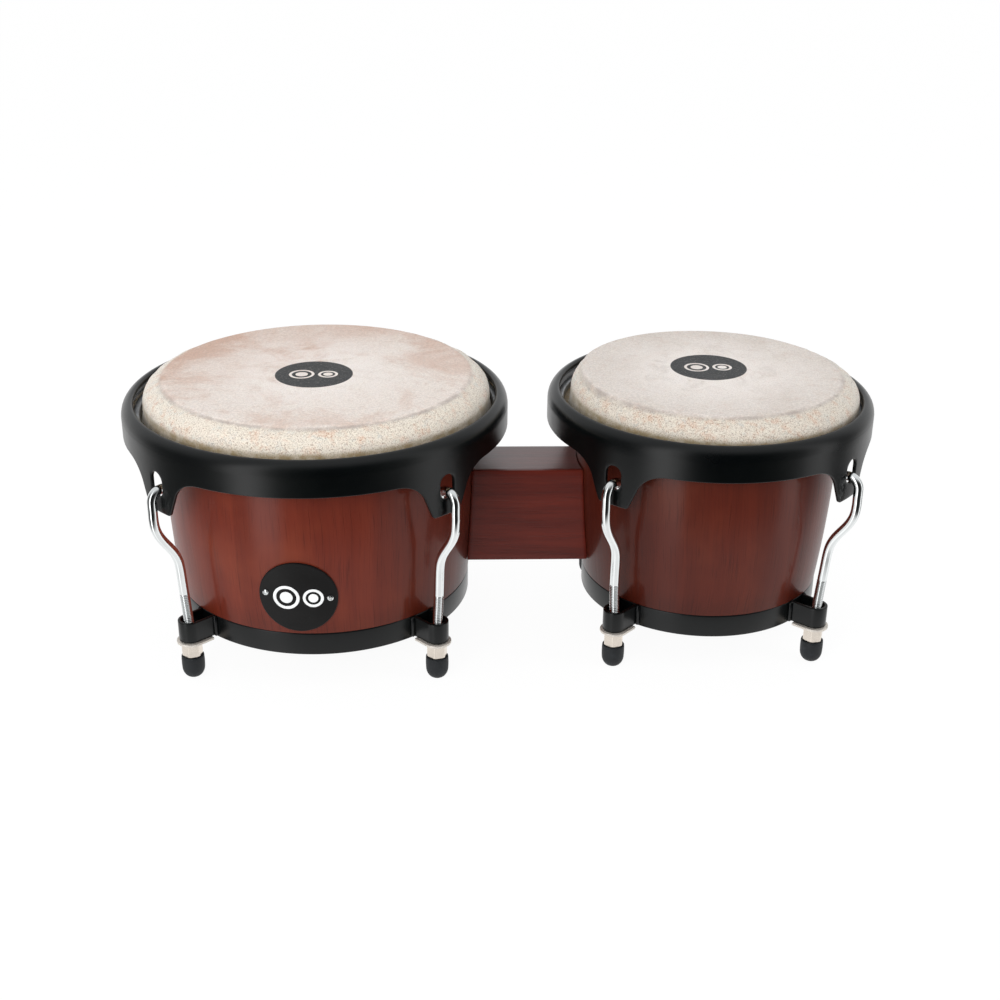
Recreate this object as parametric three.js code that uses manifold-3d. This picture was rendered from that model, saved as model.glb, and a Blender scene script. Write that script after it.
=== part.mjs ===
// A pair of bongo drums: two open wooden shells joined by a wooden block, each with a skin head that
// a steel counterhoop and four hook bolts pull down over the shell's bearing edge.
// Millimetres. The origin is on the floor under the middle of the pair: +X runs from the large drum to
// the small one, -Y is the side with the badge and +Z is up.
import * as THREE from "three";
import { mergeVertices } from "three/addons/utils/BufferGeometryUtils.js";
import Module from "manifold-3d";

const wasm = await Module();
wasm.setup();

// ---------------------------------------------------------------- driving dimensions
const DRUMS = [
  {
    name: "large",
    headRadius: 101.6,
    shellRadius: 104.2,
    ringRadius: 99.5,
    hoopRadius: 127,
    hoopShift: -1,
    lugRadius: 113.5,
    lugTurn: -1.6,
    hoopTurn: -2.0,
  },
  {
    name: "small",
    headRadius: 86.2,
    shellRadius: 87.8,
    ringRadius: 81.3,
    hoopRadius: 108.5,
    hoopShift: 0,
    lugRadius: 95.6,
    lugTurn: 1.6,
    hoopTurn: 3.2,
  },
];
const CENTRE_DISTANCE = 261.4;

const GAP = 0.3;
const ROUND = 40;

const SHELL = { bottom: 29, belly: 150, top: 182.6, wall: 8, edgeRadius: 5, edgeFlat: 3 };
const RING = { bottom: 26.8, top: 42.3, thick: 2.4, lipDepth: 9, lipThick: 1.9 };
const STRAP = { bottom: 27.8, top: 42.2, outer: 7.75, inner: 5.4 };
const PLATE = { bottom: 25.8, top: 27.5, radius: 9.4, inward: 11.6, bore: 3.7 };
const NUT = { top: 25.5, shoulder: 16.2, bottom: 9, flats: 12, neck: 5.2, bore: 3.3 };
const FOOT = { top: 15.9, radius: 7.5, flat: 2, floor: 6.2, bore: 5.5 };

const HEAD = { top: 184.6, thick: 1.6, skirtFlare: 12.4, skirtBottom: 168.3, edge: 183.7 };
// The skirt's outer face, as (share of its flare, share of its drop).
const SKIRT = [
  [0.45, 0.16],
  [0.8, 0.38],
  [0.97, 0.66],
  [1, 1],
];
const FLESH_HOOP = { bottom: 158.6, top: 163.4, inset: 6.4, width: 4.8 };
const HOOP = { bandBottom: 149.3, thick: 2.4, rollFoot: 162.6 };
// The counterhoop's rolled top edge, as [distance inside the hoop's face, height].
const ROLL = [
  [0, 163.6],
  [0.5, 166.6],
  [1.9, 169.2],
  [4, 171.2],
  [6.2, 172],
  [7.9, 171.2],
  [8.4, 169.6],
  [7.8, 168],
  [5.6, 166.6],
];
const EAR = { bottom: 123, halfWidth: 11.2, waist: 18.2, waistHeight: 139, bend: 24.5, shoulder: 38 };
const SLOT = { width: 11.6, bottom: 133.5, top: 149.9 };

const WIRE = 2.9;
const HOOK = { end: 8.6, lean: 3.3, jogFrom: 80, jogTo: 119, reach: 19, drift: 0.8, ease: 0.45 };
// How the rod leaves the lug's axis below the double bend, as (share of the lean, height).
const HOOK_LEAN = [
  [0, 27],
  [0.06, 33],
  [0.35, 47],
];
const HOOK_BEND = { radius: 7.3, height: 130.6, sweep: 160, tip: 2.5 };
const HOOK_SWAY = { from: 45, to: 119 };

const BLOCK = { bottom: 54.4, top: 121.6, halfDepth: 21.5 };
const BOLT = { radius: 3, depth: 28, headRadius: 6, headHeight: 4, seat: 0.7, heights: [75, 103] };
const BACKING = { bottom: 62, top: 116, halfWidth: 14, thick: 2 };
const BADGE = { radius: 25, thick: 1.2, height: 70, azimuth: -5 };
// How far a cutting body reaches past the faces it cuts.
const CUT_PAST = 10;
const SCREW = { headRadius: 2, headHeight: 1, shank: 0.9, length: 5, seat: 0.1 };
// Each badge screw, as its distance along the shell from the badge's middle, and its height.
const BADGE_SCREWS = [
  { label: "left", along: -20, height: 72.6 },
  { label: "right", along: 20, height: 70 },
];

const LUGS = [
  ["front_left", -45],
  ["front_right", 45],
  ["back_right", 135],
  ["back_left", -135],
];

// ---------------------------------------------------------------- materials
function finish(color, roughness, metalness) {
  return new THREE.MeshStandardMaterial({ color, roughness, metalness });
}

const MATERIALS = {
  shell: finish(0x5c2018, 0.3, 0),
  block: finish(0x4a1d18, 0.4, 0),
  skin: finish(0xdcc9b2, 0.7, 0),
  black: finish(0x141716, 0.45, 0.3),
  chrome: finish(0xd4d8da, 0.12, 1),
  nickel: finish(0xcfc2b0, 0.3, 1),
  rubber: finish(0x16181a, 0.85, 0),
  steel: finish(0x9a9da0, 0.4, 1),
  badge: finish(0x101214, 0.4, 0.3),
};

// ---------------------------------------------------------------- geometry helpers
// A profile is a list of [radius, height] that goes up the outside and down the inside.
function revolve(profile, segments = ROUND) {
  const points = profile.map(([r, z]) => new THREE.Vector2(r, z));
  const onAxis = profile[0][0] === 0;
  if (!onAxis) {
    points.push(points[0].clone());
  }
  return new THREE.LatheGeometry(points, segments).rotateX(Math.PI / 2);
}

// An outline in the (Y, Z) plane, drawn out along X from one distance to another.
function radialPrism(shape, from, to, curveSegments = 6) {
  const options = { depth: to - from, bevelEnabled: false, curveSegments };
  const alongX = new THREE.Matrix4().makeBasis(
    new THREE.Vector3(0, 1, 0),
    new THREE.Vector3(0, 0, 1),
    new THREE.Vector3(1, 0, 0),
  );
  return new THREE.ExtrudeGeometry(shape, options).applyMatrix4(alongX).translate(from, 0, 0);
}

// An outline in the (X, Y) plane, drawn up from one height to another.
function uprightPrism(shape, bottom, top, curveSegments = 6) {
  const options = { depth: top - bottom, bevelEnabled: false, curveSegments };
  return new THREE.ExtrudeGeometry(shape, options).translate(0, 0, bottom);
}

function uprightCylinder(radius, bottom, top, segments) {
  const height = top - bottom;
  const cylinder = new THREE.CylinderGeometry(radius, radius, height, segments);
  return cylinder.rotateX(Math.PI / 2).translate(0, 0, bottom + height / 2);
}

function radialCylinder(radius, from, to, height, segments) {
  const length = to - from;
  const cylinder = new THREE.CylinderGeometry(radius, radius, length, segments);
  return cylinder.rotateZ(Math.PI / 2).translate(from + length / 2, 0, height);
}

function solid(geometry) {
  const bare = geometry.clone().deleteAttribute("normal").deleteAttribute("uv");
  const merged = mergeVertices(bare, 1e-3);
  const mesh = new wasm.Mesh({
    numProp: 3,
    vertProperties: new Float32Array(merged.attributes.position.array),
    triVerts: new Uint32Array(merged.index.array),
  });
  return new wasm.Manifold(mesh);
}

function geometryOf(body) {
  const mesh = body.getMesh();
  const geometry = new THREE.BufferGeometry();
  geometry.setAttribute("position", new THREE.BufferAttribute(mesh.vertProperties, 3));
  geometry.setIndex(new THREE.BufferAttribute(mesh.triVerts, 1));
  geometry.computeVertexNormals();
  return geometry;
}

function cut(geometry, cutters) {
  return geometryOf(cutters.reduce((body, cutter) => body.subtract(solid(cutter)), solid(geometry)));
}

// The turn about Z that carries +X to an azimuth counted from the front (-Y) towards +X.
function turnTo(azimuth) {
  return THREE.MathUtils.degToRad(azimuth - 90);
}

function lugTurns(drum) {
  return LUGS.map(([, azimuth]) => turnTo(azimuth + drum.lugTurn));
}

function earTurns(drum) {
  return LUGS.map(([, azimuth]) => turnTo(azimuth + drum.hoopTurn));
}

// ---------------------------------------------------------------- shell
// The wall bows inwards from the belly height down to the bottom ring.
function shellRadiusAt(drum, height) {
  const drop = Math.max(0, (SHELL.belly - height) / (SHELL.belly - RING.top));
  return drum.shellRadius - (drum.shellRadius - drum.ringRadius) * drop * drop;
}

function wallProfile(drum, from, to, steps, offset) {
  return Array.from({ length: steps + 1 }, (_, i) => {
    const height = from + ((to - from) * i) / steps;
    return [shellRadiusAt(drum, height) + offset, height];
  });
}

function shellGeometry(drum) {
  const rebate = drum.ringRadius - RING.thick - GAP;
  const crest = drum.shellRadius - SHELL.edgeRadius;
  const round = [0, 30, 60, 90].map((degrees) => {
    const a = THREE.MathUtils.degToRad(degrees);
    return [
      crest + SHELL.edgeRadius * Math.cos(a),
      SHELL.top - SHELL.edgeRadius + SHELL.edgeRadius * Math.sin(a),
    ];
  });
  const inside = wallProfile(drum, SHELL.belly, RING.top, 3, -SHELL.wall);
  return revolve([
    [rebate, SHELL.bottom],
    [rebate, RING.top + GAP],
    ...wallProfile(drum, RING.top + GAP, SHELL.belly, 4, 0),
    ...round,
    [crest - SHELL.edgeFlat, SHELL.top],
    ...inside,
    [inside[inside.length - 1][0], SHELL.bottom],
  ]);
}

function blockSide(drum) {
  return drum.name === "large" ? 0 : Math.PI;
}

function boltHoles(drum, radius) {
  const start = drum.shellRadius - 2 * SHELL.wall;
  return BOLT.heights.map((height) =>
    radialCylinder(radius, start, start + BOLT.depth + 3 * CUT_PAST, height, 10).rotateZ(blockSide(drum)),
  );
}

function badgeScrewTurn(screw) {
  const radius = shellRadiusAt(DRUMS[0], BADGE.height);
  return turnTo(BADGE.azimuth + THREE.MathUtils.radToDeg(screw.along / radius));
}

function screwHoles() {
  const face = shellRadiusAt(DRUMS[0], BADGE.height);
  const end = face - SCREW.length - SCREW.seat - GAP;
  return BADGE_SCREWS.map((screw) =>
    radialCylinder(SCREW.shank + GAP, end, face + CUT_PAST, screw.height, 8).rotateZ(
      badgeScrewTurn(screw),
    ),
  );
}

// ---------------------------------------------------------------- bottom ring and its brackets
// A U-shaped strap round a lug's axis, its open end against the ring.
function strapShape(reach) {
  const shape = new THREE.Shape();
  shape.moveTo(-reach, -STRAP.outer);
  shape.lineTo(0, -STRAP.outer);
  shape.absarc(0, 0, STRAP.outer, -Math.PI / 2, Math.PI / 2, false);
  shape.lineTo(-reach, STRAP.outer);
  shape.lineTo(-reach, STRAP.inner);
  shape.lineTo(0, STRAP.inner);
  shape.absarc(0, 0, STRAP.inner, Math.PI / 2, -Math.PI / 2, true);
  shape.lineTo(-reach, -STRAP.inner);
  return shape;
}

function ringGeometry(drum) {
  const outer = drum.ringRadius;
  const inner = outer - RING.thick;
  const band = revolve([
    [outer, RING.bottom],
    [outer, RING.top],
    [inner, RING.top],
    [inner, RING.bottom + RING.lipThick],
    [outer - RING.lipDepth, RING.bottom + RING.lipThick],
    [outer - RING.lipDepth, RING.bottom],
  ]);
  const reach = drum.lugRadius - drum.ringRadius + RING.thick * 0.6;
  const strap = uprightPrism(strapShape(reach), STRAP.bottom, STRAP.top);
  const placed = lugTurns(drum).map((turn) =>
    strap.clone().translate(drum.lugRadius, 0, 0).rotateZ(turn),
  );
  return geometryOf(placed.reduce((body, piece) => body.add(solid(piece)), solid(band)));
}

function plateGeometry() {
  const shape = new THREE.Shape();
  shape.moveTo(-PLATE.inward, -PLATE.radius);
  shape.lineTo(0, -PLATE.radius);
  shape.absarc(0, 0, PLATE.radius, -Math.PI / 2, Math.PI / 2, false);
  shape.lineTo(-PLATE.inward, PLATE.radius);
  const hole = new THREE.Path().absarc(0, 0, PLATE.bore, 0, Math.PI * 2, true);
  shape.holes.push(hole);
  return uprightPrism(shape, PLATE.bottom, PLATE.top);
}

// ---------------------------------------------------------------- hook bolt, nut and foot
// Its stations are spaced by parameter and not by length, so that bends hold more of them.
class StationPath extends THREE.Curve {
  constructor(stations) {
    super();
    this.stations = stations;
  }

  getUtoTmapping(u) {
    return u;
  }

  getPoint(t, target = new THREE.Vector3()) {
    const last = this.stations.length - 1;
    const place = THREE.MathUtils.clamp(t, 0, 1) * last;
    const index = Math.min(Math.floor(place), last - 1);
    return target.lerpVectors(this.stations[index], this.stations[index + 1], place - index);
  }
}

// How far the hoop's ear stands aside of the lug below it.
function hookSway(drum) {
  const offset = THREE.MathUtils.degToRad(drum.hoopTurn - drum.lugTurn);
  return (drum.lugRadius + HOOK.reach) * Math.sin(offset);
}

// The double bend that carries the bolt outwards from the lug's line to the ear's.
function jogPoints() {
  const start = new THREE.Vector2(HOOK.lean, HOOK.jogFrom);
  const end = new THREE.Vector2(HOOK.reach, HOOK.jogTo);
  const rise = (HOOK.jogTo - HOOK.jogFrom) * HOOK.ease;
  const bend = new THREE.CubicBezierCurve(
    start,
    new THREE.Vector2(start.x + HOOK.drift, start.y + rise),
    new THREE.Vector2(end.x, end.y - rise),
    end,
  );
  return bend.getPoints(7).map((p) => [p.x, p.y]);
}

// The hook at the top, which passes through the ear's slot and points down behind it.
function bendPoints() {
  const { radius, height, sweep, tip } = HOOK_BEND;
  const steps = 7;
  const points = Array.from({ length: steps + 1 }, (_, i) => {
    const a = THREE.MathUtils.degToRad((sweep * i) / steps);
    return [HOOK.reach - radius + radius * Math.cos(a), height + radius * Math.sin(a)];
  });
  const end = THREE.MathUtils.degToRad(sweep);
  const [x, z] = points[steps];
  return [...points, [x - tip * Math.sin(end), z + tip * Math.cos(end)]];
}

// The bolt's centre line, with the lug's axis at x = 0.
function hookStations(drum) {
  const rod = [[0, HOOK.end], ...HOOK_LEAN.map(([share, z]) => [HOOK.lean * share, z])];
  const jog = jogPoints();
  const hook = bendPoints();
  const aside = (z) => hookSway(drum) * THREE.MathUtils.smoothstep(z, HOOK_SWAY.from, HOOK_SWAY.to);
  return [
    ...[...rod, ...jog].map(([x, z]) => new THREE.Vector3(x, aside(z), z)),
    ...hook.map(([x, z]) => new THREE.Vector3(x, hookSway(drum), z)),
  ];
}

function hookGeometry(drum) {
  const stations = hookStations(drum);
  const section = new THREE.Shape().absarc(0, 0, WIRE, 0, Math.PI * 2, false);
  return new THREE.ExtrudeGeometry(section, {
    steps: stations.length - 1,
    extrudePath: new StationPath(stations),
    curveSegments: 3,
  });
}

function nutGeometry() {
  const corner = NUT.flats / 2 / Math.cos(Math.PI / 6);
  const hex = uprightCylinder(corner, NUT.shoulder, NUT.top, 6);
  const neck = uprightCylinder(NUT.neck, NUT.bottom, NUT.shoulder + 1, 12);
  const bore = uprightCylinder(NUT.bore, NUT.bottom - 1, NUT.top + 1, 12);
  return geometryOf(solid(hex).add(solid(neck)).subtract(solid(bore)));
}

// A rubber cap with a domed end, pushed over the nut's neck. A small flat touches the floor.
function footGeometry() {
  const dome = [25, 55, 90].map((degrees) => {
    const a = THREE.MathUtils.degToRad(degrees);
    const reach = FOOT.radius - FOOT.flat;
    return [FOOT.flat + reach * Math.sin(a), FOOT.radius - FOOT.radius * Math.cos(a)];
  });
  return revolve(
    [
      [0, 0],
      [FOOT.flat, 0],
      ...dome,
      [FOOT.radius, FOOT.top],
      [FOOT.bore, FOOT.top],
      [FOOT.bore, FOOT.floor],
      [0, FOOT.floor],
    ],
    12,
  );
}

// ---------------------------------------------------------------- head and hoops
function skinGeometry(drum) {
  const r = drum.headRadius;
  const t = HEAD.thick;
  const flare = HEAD.skirtFlare;
  const drop = HEAD.edge - HEAD.skirtBottom;
  const skirt = SKIRT.map(([out, down]) => [r + flare * out, HEAD.edge - drop * down]);
  const outside = [[r - 2, HEAD.top], [r + 0.3, HEAD.edge], ...skirt].reverse();
  const inside = [
    [r - 2.6, HEAD.top - t],
    ...skirt.map(([x, z]) => [x - t, Math.max(z - t * 0.35, HEAD.skirtBottom)]),
  ];
  return revolve([[0, HEAD.top - t], ...inside, ...outside, [0, HEAD.top]]);
}

function fleshHoopGeometry(drum) {
  const outer = drum.hoopRadius - FLESH_HOOP.inset;
  const inner = outer - FLESH_HOOP.width;
  return revolve([
    [outer, FLESH_HOOP.bottom],
    [outer, FLESH_HOOP.top],
    [inner, FLESH_HOOP.top],
    [inner, FLESH_HOOP.bottom],
  ]);
}

// The outline of one ear, its sides flowing into the band's lower edge.
function earShape() {
  const shape = new THREE.Shape();
  const top = HOOP.bandBottom + 2;
  shape.moveTo(-EAR.halfWidth, EAR.bottom);
  shape.lineTo(EAR.halfWidth, EAR.bottom);
  shape.lineTo(EAR.waist, EAR.waistHeight);
  shape.quadraticCurveTo(EAR.bend, HOOP.bandBottom, EAR.shoulder, HOOP.bandBottom);
  shape.lineTo(EAR.shoulder, top);
  shape.lineTo(-EAR.shoulder, top);
  shape.lineTo(-EAR.shoulder, HOOP.bandBottom);
  shape.quadraticCurveTo(-EAR.bend, HOOP.bandBottom, -EAR.waist, EAR.waistHeight);
  return shape;
}

function slotShape() {
  const r = SLOT.width / 2;
  const shape = new THREE.Shape();
  shape.moveTo(r, SLOT.bottom + r);
  shape.lineTo(r, SLOT.top - r);
  shape.absarc(0, SLOT.top - r, r, 0, Math.PI, false);
  shape.lineTo(-r, SLOT.bottom + r);
  shape.absarc(0, SLOT.bottom + r, r, Math.PI, Math.PI * 2, false);
  return shape;
}

function hoopProfile(drum) {
  const outer = drum.hoopRadius;
  const inner = outer - HOOP.thick;
  return [
    [outer, EAR.bottom],
    [outer, HOOP.bandBottom],
    ...ROLL.map(([inset, height]) => [outer - inset, height]),
    [inner, HOOP.rollFoot],
    [inner, HOOP.bandBottom],
    [inner, EAR.bottom],
  ];
}

function hoopGeometry(drum) {
  const inside = drum.hoopRadius - 2 * CUT_PAST;
  const outside = drum.hoopRadius + CUT_PAST;
  const belowBand = revolve([
    [outside, EAR.bottom - 5],
    [outside, HOOP.bandBottom],
    [inside, HOOP.bandBottom],
    [inside, EAR.bottom - 5],
  ], 16);
  const ear = radialPrism(earShape(), inside - 5, outside + 5, 5);
  const slot = radialPrism(slotShape(), inside, outside, 5);
  const turns = earTurns(drum);
  const window = turns.reduce(
    (body, turn) => body.subtract(solid(ear.clone().rotateZ(turn))),
    solid(belowBand),
  );
  const withEars = solid(revolve(hoopProfile(drum))).subtract(window);
  return geometryOf(
    turns.reduce((body, turn) => body.subtract(solid(slot.clone().rotateZ(turn))), withEars),
  );
}

// ---------------------------------------------------------------- centre block and its bolts
function blockGeometry(largeX, smallX) {
  const size = [smallX - largeX, 2 * BLOCK.halfDepth, BLOCK.top - BLOCK.bottom];
  const middle = (BLOCK.bottom + BLOCK.top) / 2;
  const box = new THREE.BoxGeometry(...size).translate((largeX + smallX) / 2, 0, middle);
  const cutters = DRUMS.flatMap((drum, i) => {
    const x = [largeX, smallX][i];
    const wall = wallProfile(drum, BLOCK.bottom - 2, BLOCK.top + 2, 5, GAP);
    const core = [[0, wall[0][1]], ...wall, [0, wall[wall.length - 1][1]]];
    const holes = boltHoles(drum, BOLT.radius + GAP);
    return [revolve(core), ...holes].map((g) => g.translate(x, 0, 0));
  });
  return cut(box, cutters);
}

// A curved steel plate inside the shell that spreads the load of the two block bolts.
function backingGeometry(drum) {
  const steps = 3;
  const outside = wallProfile(drum, BACKING.bottom, BACKING.top, steps, -SHELL.wall - GAP);
  const inside = outside.map(([r, z]) => [r - BACKING.thick, z]).reverse();
  const shape = new THREE.Shape();
  shape.moveTo(-BACKING.halfWidth, BACKING.bottom - 1);
  shape.lineTo(BACKING.halfWidth, BACKING.bottom - 1);
  shape.lineTo(BACKING.halfWidth, BACKING.top + 1);
  shape.lineTo(-BACKING.halfWidth, BACKING.top + 1);
  const holes = boltHoles(drum, BOLT.radius + GAP).map((g) => g.rotateZ(-blockSide(drum)));
  const patch = solid(radialPrism(shape, CUT_PAST, drum.shellRadius));
  return cut(geometryOf(solid(revolve([...outside, ...inside])).intersect(patch)), holes);
}

// A round-headed bolt along +X, its head's flat face at x = 0 and its thread beyond.
function boltGeometry(length) {
  const { radius, headRadius, headHeight } = BOLT;
  const profile = [
    [0, -headHeight],
    [headRadius * 0.55, -headHeight],
    [headRadius, -headHeight * 0.4],
    [headRadius, 0],
    [radius, 0],
    [radius, length],
    [0, length],
  ];
  return revolve(profile, 10).rotateY(Math.PI / 2);
}

// ---------------------------------------------------------------- badge
function badgeGeometry(drum) {
  const low = BADGE.height - BADGE.radius - 2;
  const high = BADGE.height + BADGE.radius + 2;
  const inside = wallProfile(drum, low, high, 3, GAP);
  const outside = inside.map(([r, z]) => [r + BADGE.thick, z]);
  const skin = revolve([...outside, ...inside.reverse()]);
  const face = shellRadiusAt(drum, BADGE.height);
  const disc = radialCylinder(BADGE.radius, face - CUT_PAST, face + CUT_PAST, BADGE.height, 24).rotateZ(turnTo(BADGE.azimuth));
  return cut(geometryOf(solid(skin).intersect(solid(disc))), screwHoles());
}

function screwGeometry() {
  const { headRadius, headHeight, shank, length } = SCREW;
  const profile = [
    [0, -length],
    [shank, -length],
    [shank, 0],
    [headRadius, 0],
    [headRadius * 0.7, headHeight],
    [0, headHeight],
  ];
  return revolve(profile, 10).rotateY(Math.PI / 2);
}

// ---------------------------------------------------------------- assembly
function piece(name, geometry, material) {
  const mesh = new THREE.Mesh(geometry, material);
  mesh.name = name;
  return mesh;
}

const PLATE_GEOMETRY = plateGeometry();
const NUT_GEOMETRY = nutGeometry();
const FOOT_GEOMETRY = footGeometry();

function lugHardware(drum, hook, label, azimuth) {
  const lug = new THREE.Group();
  lug.rotation.z = turnTo(azimuth + drum.lugTurn);
  const stack = [
    ["hook", hook, MATERIALS.chrome],
    ["plate", PLATE_GEOMETRY, MATERIALS.nickel],
    ["nut", NUT_GEOMETRY, MATERIALS.nickel],
    ["foot", FOOT_GEOMETRY, MATERIALS.rubber],
  ];
  stack.forEach(([kind, geometry, material]) => {
    const mesh = piece(`${drum.name}_${kind}_${label}`, geometry, material);
    mesh.position.x = drum.lugRadius;
    lug.add(mesh);
  });
  return lug;
}

function blockFasteners(drum) {
  const group = new THREE.Group();
  group.rotation.z = blockSide(drum);
  group.add(piece(`${drum.name}_backing_plate`, backingGeometry(drum), MATERIALS.steel));
  const seat = BACKING.thick + 2 * GAP + SHELL.wall;
  BOLT.heights.forEach((height, i) => {
    const label = ["lower", "upper"][i];
    const bolt = piece(`${drum.name}_block_bolt_${label}`, boltGeometry(seat + BOLT.depth), MATERIALS.steel);
    bolt.position.set(shellRadiusAt(drum, height) - seat - BOLT.seat, 0, height);
    group.add(bolt);
  });
  return group;
}

function badgeGroup(drum) {
  const group = new THREE.Group();
  group.add(piece("badge", badgeGeometry(drum), MATERIALS.badge));
  const face = shellRadiusAt(drum, BADGE.height) + BADGE.thick + 2 * GAP;
  BADGE_SCREWS.forEach((screw) => {
    const holder = new THREE.Group();
    holder.rotation.z = badgeScrewTurn(screw);
    const mesh = piece(`badge_screw_${screw.label}`, screwGeometry(), MATERIALS.chrome);
    mesh.position.set(face + SCREW.seat, 0, screw.height);
    holder.add(mesh);
    group.add(holder);
  });
  return group;
}

function drumGroup(drum) {
  const group = new THREE.Group();
  const isLarge = drum.name === "large";
  const holes = [...boltHoles(drum, BOLT.radius + GAP), ...(isLarge ? screwHoles() : [])];
  group.add(piece(`${drum.name}_shell`, cut(shellGeometry(drum), holes), MATERIALS.shell));
  group.add(piece(`${drum.name}_bottom_ring`, ringGeometry(drum), MATERIALS.black));
  group.add(piece(`${drum.name}_skin`, skinGeometry(drum), MATERIALS.skin));
  group.add(piece(`${drum.name}_flesh_hoop`, fleshHoopGeometry(drum), MATERIALS.steel));
  const counterhoop = piece(`${drum.name}_counterhoop`, hoopGeometry(drum), MATERIALS.black);
  counterhoop.position.x = drum.hoopShift;
  group.add(counterhoop);
  const hook = hookGeometry(drum);
  LUGS.forEach(([label, azimuth]) => group.add(lugHardware(drum, hook, label, azimuth)));
  group.add(blockFasteners(drum));
  if (isLarge) {
    group.add(badgeGroup(drum));
  }
  return group;
}

function bongos() {
  const [large, small] = DRUMS;
  const largeReach = large.hoopRadius - large.hoopShift;
  const smallReach = small.hoopRadius + small.hoopShift;
  const width = largeReach + CENTRE_DISTANCE + smallReach;
  const largeX = largeReach - width / 2;
  const smallX = width / 2 - smallReach;
  const group = new THREE.Group();
  [largeX, smallX].forEach((x, i) => {
    const drum = drumGroup(DRUMS[i]);
    drum.position.x = x;
    group.add(drum);
  });
  group.add(piece("centre_block", blockGeometry(largeX, smallX), MATERIALS.block));
  return group;
}

export default bongos();
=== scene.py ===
import math
from functools import partialmethod

import bmesh
import bpy
import numpy as np
from mathutils import Matrix, Vector


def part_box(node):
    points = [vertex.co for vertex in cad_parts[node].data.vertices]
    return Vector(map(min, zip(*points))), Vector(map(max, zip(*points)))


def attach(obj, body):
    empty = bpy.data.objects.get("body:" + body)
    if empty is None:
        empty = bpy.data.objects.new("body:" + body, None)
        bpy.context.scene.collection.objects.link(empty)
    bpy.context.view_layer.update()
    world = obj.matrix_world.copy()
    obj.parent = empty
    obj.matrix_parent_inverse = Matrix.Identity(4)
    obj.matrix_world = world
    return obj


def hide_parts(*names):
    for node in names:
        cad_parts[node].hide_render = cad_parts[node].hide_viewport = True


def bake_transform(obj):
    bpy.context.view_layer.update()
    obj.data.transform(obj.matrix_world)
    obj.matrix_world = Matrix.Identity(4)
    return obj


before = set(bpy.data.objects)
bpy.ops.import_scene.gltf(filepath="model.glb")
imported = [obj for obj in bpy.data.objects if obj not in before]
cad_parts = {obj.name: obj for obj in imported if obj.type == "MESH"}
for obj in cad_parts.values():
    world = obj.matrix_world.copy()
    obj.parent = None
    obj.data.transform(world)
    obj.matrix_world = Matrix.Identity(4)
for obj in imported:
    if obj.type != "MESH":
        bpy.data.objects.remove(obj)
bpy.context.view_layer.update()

# Shapes are worked out in millimetres about a drum's axis and written to the meshes in metres.
MM = 0.001
TAU = 2 * math.pi
LUGS = ("front_left", "front_right", "back_right", "back_left")
RNG = np.random.default_rng(7)


# ---- sizes read from the frame
def box_mm(node):
    """Lowest and highest corner of a CAD node, in millimetres."""
    low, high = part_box(node)
    return np.array(low) / MM, np.array(high) / MM


def read_drum(name):
    """One drum's axis, radii and heights, from the boxes of its CAD nodes."""
    drum = {"name": name, "lugs": {}}
    nodes = {
        "shell": "shell",
        "ring": "bottom_ring",
        "skin": "skin",
        "hoop": "counterhoop",
        "flesh": "flesh_hoop",
    }
    for key, node in nodes.items():
        low, high = box_mm(f"{name}_{node}")
        drum[key], drum[f"{key}_z"] = (high - low)[0] / 2, (low[2], high[2])
        drum[f"{key}_centre"] = (low + high)[:2] / 2
    drum["centre"] = drum["shell_centre"]
    for label in LUGS:
        low, high = box_mm(f"{name}_nut_{label}")
        drum["lugs"][label] = (low + high)[:2] / 2 - drum["centre"]
    return drum


# ring: the ring's own radius, since its node's box takes in the brackets. ear_turn: degrees the hoop is
# turned by. side: +1 where the other drum lies towards +X. tight: how far the skin's collar is pulled in
# on the -X side. The next value is how light the wood is; on the small drum it is set lower partly as
# painted shade, where the block and the large drum shade it. print: the middle of the head's print, from the
# axis.
DRUMS = {name: read_drum(name) for name in ("large", "small")}
DRUMS["large"].update(ring=99.5, ear_turn=-2.0, side=1, tight=0.0, stain=0.90, print=(-1.6, -6.8))
DRUMS["small"].update(ring=81.3, ear_turn=3.2, side=-1, tight=5.5, stain=0.54, print=(-0.9, 4.9))
BELLY = 150.0
WALL = 8.0
SEAT_GAP = 0.3
CREASE_INSET = 12.4


def shell_radius(drum, z):
    """The shell's outer radius: straight above the belly, bowing in below it."""
    foot = drum["ring_z"][1]
    drop = np.clip((BELLY - np.asarray(z, float)) / (BELLY - foot), 0, None)
    return drum["shell"] - (drum["shell"] - drum["ring"]) * drop**2


# ---- mesh helpers
def link(name, data):
    """A new object in the scene."""
    obj = bpy.data.objects.new(name, data)
    bpy.context.scene.collection.objects.link(obj)
    return obj


def normals(run):
    """Unit vectors a quarter turn clockwise from the given ones."""
    run = run / (np.linalg.norm(run, axis=1)[:, None] + 1e-9)
    return np.stack([run[:, 1], -run[:, 0]], 1)


def grid_faces(rows, cols, wrap_rows):
    """Quads between rows of points, each row closed on itself."""
    r = np.arange(rows if wrap_rows else rows - 1)
    c = np.arange(cols)
    a, b = (m.ravel() for m in np.meshgrid(r, c, indexing="ij"))
    a2, b2 = (a + 1) % rows, (b + 1) % cols
    return np.stack([a * cols + b, a * cols + b2, a2 * cols + b2, a2 * cols + b], -1)


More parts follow.
